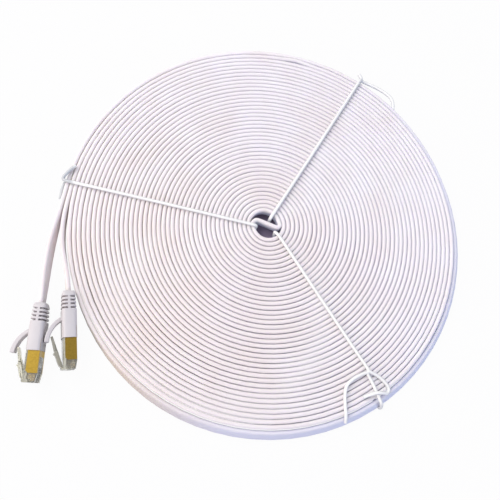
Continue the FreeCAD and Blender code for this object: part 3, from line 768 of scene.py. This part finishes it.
LEFT_TIE = [
    (-106.5, 23.3, 10.0), (-108.8, 20.8, 9.9), (-110.9, 18.0, 9.8), (-112.2, 16.0, 9.4), (-112.2, 14.7, 9.1),
    (-110.2, 14.0, 9.4), (-107.2, 13.6, 9.5), (-58.0, 7.0, 9.46), (-8.4, -0.2, 9.5), (-5.9, -0.5, 9.1),
    (-5.3, -0.6, 7.6), (-5.3, -0.6, 2.6), (-5.9, -0.7, 0.9), (-8.4, -0.6, 0.95), (-58.0, 6.2, 0.95),
    (-107.4, 12.4, 0.95), (-109.8, 12.7, 1.1), (-110.4, 12.8, 2.4), (-110.9, 13.2, 5.0), (-111.7, 13.8, 6.6),
    (-112.3, 11.4, 6.8), (-112.4, 8.4, 6.7), (-112.6, 6.2, 6.3), (-112.7, 4.4, 6.0),
]
UPPER_TIE = [
    (75.6, 84.2, 5.4), (75.6, 87.6, 6.0), (73.8, 91.6, 6.6), (68.2, 95.6, 6.4), (61.2, 98.8, 5.8),
    (56.2, 100.6, 5.6), (54.2, 100.6, 6.8), (53.6, 99.8, 8.9), (52.4, 97.6, 9.6), (50.4, 93.9, 9.46),
    (28.0, 52.0, 9.46), (4.4, 8.6, 9.5), (2.5, 5.2, 9.2), (2.1, 4.3, 7.6), (2.1, 4.0, 2.6),
    (2.5, 4.8, 0.9), (4.4, 8.0, 0.95), (28.0, 51.0, 0.95), (51.8, 95.8, 0.95), (53.6, 99.2, 1.1),
    (54.2, 100.2, 2.6), (54.6, 101.0, 5.0), (55.2, 101.4, 6.4), (54.4, 102.8, 7.0), (53.0, 104.2, 7.4),
]
LOWER_TIE = [
    (47.6, -102.6, 7.2), (47.3, -99.6, 9.2), (46.7, -95.0, 9.5), (46.2, -88.6, 9.5), (47.2, -83.2, 9.6),
    (51.6, -79.4, 9.7), (56.6, -76.8, 9.9), (59.0, -76.2, 10.4), (58.6, -74.2, 9.8), (55.0, -69.6, 9.46),
    (32.0, -38.6, 9.46), (9.0, -7.4, 9.5), (6.8, -4.7, 9.6), (5.0, -3.2, 9.0), (5.2, -3.6, 7.4),
    (5.6, -4.2, 2.6), (7.0, -6.0, 0.95), (9.6, -9.4, 0.95), (36.0, -45.6, 0.95), (65.8, -91.0, 0.95),
    (67.6, -93.6, 1.1), (68.0, -94.2, 2.8), (67.2, -93.0, 7.0), (66.1, -91.6, 9.6), (64.4, -88.2, 9.7),
    (60.8, -80.6, 9.6), (58.4, -77.4, 9.7), (58.6, -75.4, 10.6), (60.8, -76.4, 10.2), (64.8, -78.0, 9.7),
    (68.6, -81.2, 9.5), (70.6, -84.2, 9.4), (69.4, -86.6, 9.6), (66.6, -86.4, 10.7), (63.4, -86.4, 11.3),
    (60.0, -87.6, 10.4), (56.4, -89.2, 9.6),
]


class BuildTies(bpy.types.Operator):
    """The three coated wire ties that hold the winding"""

    bl_idname = "cable.build_ties"
    bl_label = "Wire Ties"

    def execute(self, context):
        sizes = context.scene.cable_sizes
        material = tie_material(context.scene.finish_colours.tie)
        for name, points in (("left_tie", LEFT_TIE), ("upper_tie", UPPER_TIE), ("lower_tie", LOWER_TIE)):
            route = [((x + COIL_AXIS.x) * MM, (y + COIL_AXIS.y) * MM, z * MM) for x, y, z in points]
            curve = spline_curve(name + "_wire", route, 5)
            curve.bevel_depth = sizes.tie_diameter / 2.0 * TIE_NARROWING
            curve.bevel_resolution = 3
            curve.use_fill_caps = True
            piece = bpy.data.objects.new(name + "_wire", curve)
            context.scene.collection.objects.link(piece)
            piece.data.materials.append(material)
            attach(piece, "cable")
            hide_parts(name)
        return {"FINISHED"}


# Boots and levers

def boot_outline(x):
    """Half depth and half width of the boot at a place along it."""
    for (x0, a0, b0), (x1, a1, b1) in zip(BOOT_STATIONS, BOOT_STATIONS[1:]):
        if x <= x1:
            t = (x - x0) / (x1 - x0)
            return a0 + (a1 - a0) * t, b0 + (b1 - b0) * t
    return BOOT_STATIONS[-1][1:]


def boot_mesh():
    """The sleeve with its slotted tail, from the cable's entry to the open mouth."""
    bm = bmesh.new()
    stations = BOOT_STATIONS[1:3]
    for i in range(4):
        x = 2.6 + SLOT_PITCH * i
        far = x + SLOT_WIDTH
        stations += [(x, *boot_outline(x)), (x + 0.01, *SLOT_FLOOR), (far - 0.01, *SLOT_FLOOR),
                     (far, *boot_outline(far))]
    stations += BOOT_STATIONS[3:] + [(BOOT_LENGTH + 0.01, *MOUTH), (MOUTH_END, *MOUTH)]
    now = BOOT_STATIONS[0]
    face = section_face(bm, *now, 1.3)
    for station in stations:
        face = carry(bm, face, *station, now)
        now = station
    return bm


def spine_mesh(bm, side):
    """The rib that runs over the slots on one narrow side."""
    verts = bmesh.ops.create_cube(bm, size=1.0)["verts"]
    bmesh.ops.scale(bm, vec=(7.6, 1.3, 1.0), verts=verts)
    for v in verts:
        x = 6.2 + v.co.x
        outer = boot_outline(x)[1] - 0.04
        v.co.x = x
        v.co.z = side * (outer if v.co.z > 0 else 3.9)


def lever_mesh():
    """The curved lever over the latch: a section spun along its arc, from the round root."""
    bm = bmesh.new()
    root, tip = LEVER_ROOT, LEVER_TIP
    chord = tip - root
    radius = chord.length ** 2 / (8.0 * LEVER_BULGE) + LEVER_BULGE / 2.0
    outward = Vector((chord.y, -chord.x, 0.0)).normalized()
    centre = (root + tip) / 2.0 - outward * (radius - LEVER_BULGE)
    sweep = 2.0 * math.asin(chord.length / 2.0 / radius)
    along = (root - centre).normalized()
    half_t, half_w = 1.0, 2.7
    corners = []
    for t, w in ((half_t, half_w), (-half_t, half_w), (-half_t, -half_w), (half_t, -half_w)):
        corners.append(bm.verts.new(root + along * t + Vector((0, 0, w))))
    face = bm.faces.new(corners)
    turn = 1.0 if (root - centre).cross(tip - centre).z > 0 else -1.0
    bmesh.ops.spin(bm, geom=[face] + list(face.edges) + list(face.verts), cent=centre, axis=(0, 0, turn),
                   angle=sweep, steps=12, use_merge=False, use_duplicate=False)
    for v in bm.verts:
        share = (v.co - root).length / chord.length
        off = v.co - centre
        level = Vector((off.x, off.y, 0.0))
        v.co += level.normalized() * (level.length - radius) * (0.17 * share)
        v.co.z *= 1.0 - 0.06 * smoothstep(0.8, 1.0, share)
    barrel = bmesh.ops.create_cone(
        bm, cap_ends=True, cap_tris=False, segments=20, radius1=0.98, radius2=0.98, depth=5.2)
    bmesh.ops.translate(bm, vec=root, verts=barrel["verts"])
    return bm


class BuildBoots(bpy.types.Operator):
    """Both strain relief boots and the levers that cover the latches"""

    bl_idname = "cable.build_boots"
    bl_label = "Boots and Levers"

    def execute(self, context):
        material = boot_material(context.scene.finish_colours.boot)
        for side, place in plug_places().items():
            boot = finish_piece(boot_mesh(), side + "_boot_sleeve", material, "cable",
                                [side + "_boot"], place)
            rounding(boot, 0.18 * MM, 2)
            ribs = bmesh.new()
            spine_mesh(ribs, 1.0)
            spine_mesh(ribs, -1.0)
            ribs = finish_piece(ribs, side + "_boot_ribs", material, "cable", [side + "_boot"], place)
            rounding(ribs, 0.2 * MM, 2)
            lever = finish_piece(lever_mesh(), side + "_latch_lever", material, side + "_guard_lever",
                                 [side + "_guard"], place)
            rounding(lever, 0.45 * MM, 3)
        return {"FINISHED"}


def sprung(latch, place):
    """Turn the latch open about its root, and swell its outer side above the root."""
    root = place @ Matrix.Translation(LATCH_ROOT)
    spring = root @ Matrix.Rotation(LATCH_SPRING, 4, "Z") @ root.inverted()
    latch.data.transform(Matrix.Scale(MM, 4) @ spring @ Matrix.Scale(1.0 / MM, 4))
    inverse = place.inverted()
    bm = bmesh.new()
    bm.from_mesh(latch.data)
    long_edges = []
    for edge in bm.edges:
        near, far = (inverse @ (v.co / MM) for v in edge.verts)
        if abs(near.x - far.x) > 2.0:
            long_edges.append(edge)
    bmesh.ops.subdivide_edges(bm, edges=long_edges, cuts=5)
    for v in bm.verts:
        local = inverse @ (v.co / MM)
        share = smoothstep(23.0, 33.0, local.x) * (1.0 - smoothstep(36.8, 38.4, local.x))
        middle = LATCH_ROOT[1] - (LATCH_ROOT[0] - local.x) * LATCH_SLOPE
        if local.y < middle:
            local.y -= LATCH_SWELL * share
            v.co = (place @ local) * MM
    bm.to_mesh(latch.data)
    bm.free()


def narrowed(shell, place):
    """Pull the shell's latch side in, clear of the boot's mouth."""
    inverse = place.inverted()
    for v in shell.data.vertices:
        local = inverse @ (v.co / MM)
        if local.x > SHELL_FROM and local.y < SHELL_EDGE:
            local.y = SHELL_EDGE
            v.co = (place @ local) * MM


class BuildPlugs(bpy.types.Operator):
    """Clear bodies, latches, plated shells, contacts, wires and combs of both plugs"""

    bl_idname = "cable.build_plugs"
    bl_label = "Plugs"

    def execute(self, context):
        colours = context.scene.finish_colours
        clear = clear_material("Clear body", colours.clear, 0.8)
        # One clear plastic in two copies: painted light on the left latch, painted shade on the right
        lit_and_shaded_latches = {"left": clear_material("Clear latch, painted light", shade(colours.clear, 1.35), 0.85),
                   "right": clear_material("Clear latch, painted shade", shade(colours.clear, 0.66), 0.55)}
        gold = plated_material("Gold plating", colours.shell, shade(colours.shell, 0.55), 0.3)
        contact = plated_material("Contact plating", colours.contact, shade(colours.contact, 0.6), 0.25)
        jacket = jacket_material(colours.jacket)
        for side, place in plug_places().items():
            softened(side + "_plug_body", side + "_clear_body", 0.12 * MM, 2, clear, "cable")
            latch = softened(side + "_latch", side + "_clear_latch", 0.18 * MM, 2, lit_and_shaded_latches[side],
                             side + "_latch_tab")
            sprung(latch, place)
            shell = softened(side + "_shield", side + "_plated_shell", 0.06 * MM, 1, gold, "cable")
            narrowed(shell, place)
            wires = wire_material(side, place.translation * MM, place.to_3x3() @ Vector((0, 0, 1)))
            for name, material in (
                ("contacts", contact), ("wires", wires), ("load_bar", clear), ("jacket_end", jacket),
            ):
                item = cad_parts[side + "_" + name]
                item.data.materials.clear()
                item.data.materials.append(material)
        return {"FINISHED"}


# Stage

class BuildStage(bpy.types.Operator):
    """Pale floor, soft studio light and the camera at the picture's view"""

    bl_idname = "cable.build_stage"
    bl_label = "Stage"

    def execute(self, context):
        settings = context.scene.stage_settings
        self.floor(settings)
        self.world(context, settings)
        self.lamps(context, settings)
        self.camera(context)
        context.scene.view_settings.view_transform = "Standard"
        return {"FINISHED"}

    def floor(self, settings):
        """Matt to the light, with a painted shade colour in the hole, part white to the camera outside the hole, and
        nearly all white past the rim.
        """
        material = bpy.data.materials.new("Studio floor")
        material.use_nodes = True
        tree = material.node_tree
        tree.nodes.clear()
        matt = node(tree, "ShaderNodeBsdfDiffuse", (0, 100), Color=(*FLOOR_COLOUR, 1.0))
        glow = node(tree, "ShaderNodeEmission", (0, -100), Color=(1.0, 1.0, 1.0, 1.0), Strength=1.0)
        rays = node(tree, "ShaderNodeLightPath", (-600, 0))
        seen = doing(tree, "ShaderNodeMath", (-400, 0), "MAXIMUM")
        share = doing(tree, "ShaderNodeMath", (-200, 0), "MULTIPLY")
        place = node(tree, "ShaderNodeTexCoord", (-900, 300))
        away = doing(tree, "ShaderNodeVectorMath", (-700, 300), "DISTANCE")
        away.inputs[1].default_value = COIL_AXIS * MM
        hole = node(tree, "ShaderNodeMapRange", (-500, 300), From_Min=HOLE_RING[0], From_Max=HOLE_RING[1])
        beyond = node(tree, "ShaderNodeMapRange", (-500, 600), From_Min=RIM_RING[0], From_Max=RIM_RING[1], To_Max=0.51)
        outside = doing(tree, "ShaderNodeMath", (-350, 450), "MULTIPLY_ADD")
        outside.inputs[1].default_value = 0.45
        # Painted shade colour in the hole, the floor's colour outside it
        shade_mix = colour_mix(tree, (-250, 300), HOLE_PAINTED_SHADE, FLOOR_COLOUR)
        also = doing(tree, "ShaderNodeMath", (-400, -200), "MAXIMUM")
        mix = node(tree, "ShaderNodeMixShader", (200, 0))
        out = node(tree, "ShaderNodeOutputMaterial", (400, 0))
        link = tree.links.new
        link(rays.outputs["Is Camera Ray"], seen.inputs[0])
        link(rays.outputs["Is Glossy Ray"], also.inputs[0])
        link(rays.outputs["Is Transmission Ray"], also.inputs[1])
        link(also.outputs["Value"], seen.inputs[1])
        link(seen.outputs["Value"], share.inputs[0])
        link(share.outputs["Value"], mix.inputs[0])
        link(matt.outputs["BSDF"], mix.inputs[1])
        link(glow.outputs["Emission"], mix.inputs[2])
        link(mix.outputs["Shader"], out.inputs["Surface"])
        link(place.outputs["Object"], away.inputs[0])
        link(away.outputs["Value"], hole.inputs["Value"])
        link(away.outputs["Value"], beyond.inputs["Value"])
        link(hole.outputs["Result"], outside.inputs[0])
        link(beyond.outputs["Result"], outside.inputs[2])
        link(outside.outputs["Value"], share.inputs[1])
        link(hole.outputs["Result"], shade_mix.inputs[0])
        link(shade_mix.outputs[2], matt.inputs["Color"])
        bm = bmesh.new()
        bmesh.ops.create_grid(bm, x_segments=8, y_segments=8, size=settings.floor_size / 2.0)
        mesh = bpy.data.meshes.new("studio_floor")
        bm.to_mesh(mesh)
        bm.free()
        mesh.transform(Matrix.Translation((0.0, 0.0, -0.00005)))
        mesh.materials.append(material)
        floor = bpy.data.objects.new("studio_floor", mesh)
        bpy.context.scene.collection.objects.link(floor)

    def world(self, context, settings):
        """A pale sky for the light, and white where the camera looks past the floor."""
        world = bpy.data.worlds.new("Studio sky")
        context.scene.world = world
        world.use_nodes = True
        tree = world.node_tree
        sky = tree.nodes["Background"]
        sky.inputs["Color"].default_value = (0.90, 0.91, 1.0, 1.0)
        sky.inputs["Strength"].default_value = settings.sky
        white = node(tree, "ShaderNodeBackground", (0, -200), Color=(1.0, 1.0, 1.0, 1.0), Strength=1.0)
        rays = node(tree, "ShaderNodeLightPath", (-300, 200))
        mix = node(tree, "ShaderNodeMixShader", (250, 0))
        out = tree.nodes["World Output"]
        link = tree.links.new
        link(rays.outputs["Is Camera Ray"], mix.inputs[0])
        link(sky.outputs["Background"], mix.inputs[1])
        link(white.outputs["Background"], mix.inputs[2])
        link(mix.outputs["Shader"], out.inputs["Surface"])

    def lamps(self, context, settings):
        """A key lamp and two weaker, coloured ones, all aimed at the frame's origin."""
        for name, place, size, power, colour in (
            ("Key lamp", (-0.75, 0.45, 1.0), 0.9, settings.key, (1.0, 0.975, 0.94)),
            ("Side lamp", (0.9, -0.75, 0.35), 0.5, settings.key * 0.24, (0.5, 0.66, 1.0)),
            ("Warm lamp", (-0.85, -0.65, 0.4), 0.45, settings.key * 0.22, (1.0, 0.80, 0.68)),
        ):
            lamp = bpy.data.lights.new(name, "AREA")
            lamp.energy = power
            lamp.color = colour
            lamp.size = size
            item = bpy.data.objects.new(name, lamp)
            item.location = place
            item.rotation_euler = (-Vector(place)).to_track_quat("-Z", "Y").to_euler()
            context.scene.collection.objects.link(item)

    def camera(self, context):
        """The camera where the picture was taken from."""
        view = bpy.data.cameras.new("Picture camera")
        view.sensor_width = 36.0
        view.lens = CAMERA_LENS
        view.clip_start = 0.01
        view.clip_end = 20.0
        item = bpy.data.objects.new("Picture camera", view)
        side = CAMERA_SIDE.normalized()
        back = CAMERA_BACK.normalized()
        up = back.cross(side).normalized()
        side = up.cross(back).normalized()
        turn = Matrix((side, up, back)).transposed().to_4x4()
        item.matrix_world = Matrix.Translation((CAMERA_EYE + COIL_AXIS) * MM) @ turn
        context.scene.collection.objects.link(item)
        context.scene.camera = item


class CablePanel(bpy.types.Panel):
    """Lists the steps that dress the frame"""

    bl_idname = "VIEW3D_PT_coiled_cable"
    bl_label = "Coiled Patch Cable"
    bl_space_type = "VIEW_3D"
    bl_region_type = "UI"
    bl_category = "Cable"

    def draw(self, context):
        layout = self.layout
        for operator in OPERATORS:
            layout.operator(operator.bl_idname)
        for group in GROUPS:
            settings = getattr(context.scene, group)
            box = layout.box()
            for name in settings.__annotations__:
                box.prop(settings, name)


OPERATORS = (BuildTies, BuildBoots, BuildPlugs, BuildCable, BuildStage)
GROUPS = {
    "cable_sizes": CableSizes,
    "plug_sizes": PlugSizes,
    "finish_colours": FinishColours,
    "stage_settings": StageSettings,
}


def register():
    for group in GROUPS.values():
        bpy.utils.register_class(group)
    for operator in OPERATORS:
        bpy.utils.register_class(operator)
    bpy.utils.register_class(CablePanel)
    for name, group in GROUPS.items():
        setattr(bpy.types.Scene, name, bpy.props.PointerProperty(type=group))


def unregister():
    for name in GROUPS:
        delattr(bpy.types.Scene, name)
    bpy.utils.unregister_class(CablePanel)
    for operator in reversed(OPERATORS):
        bpy.utils.unregister_class(operator)
    for group in reversed(list(GROUPS.values())):
        bpy.utils.unregister_class(group)


def main():
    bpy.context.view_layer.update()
    register()
    bpy.ops.cable.build_ties()
    bpy.ops.cable.build_boots()
    bpy.ops.cable.build_plugs()
    bpy.ops.cable.build_cable()
    bpy.ops.cable.build_stage()


if __name__ == "__main__":
    main()
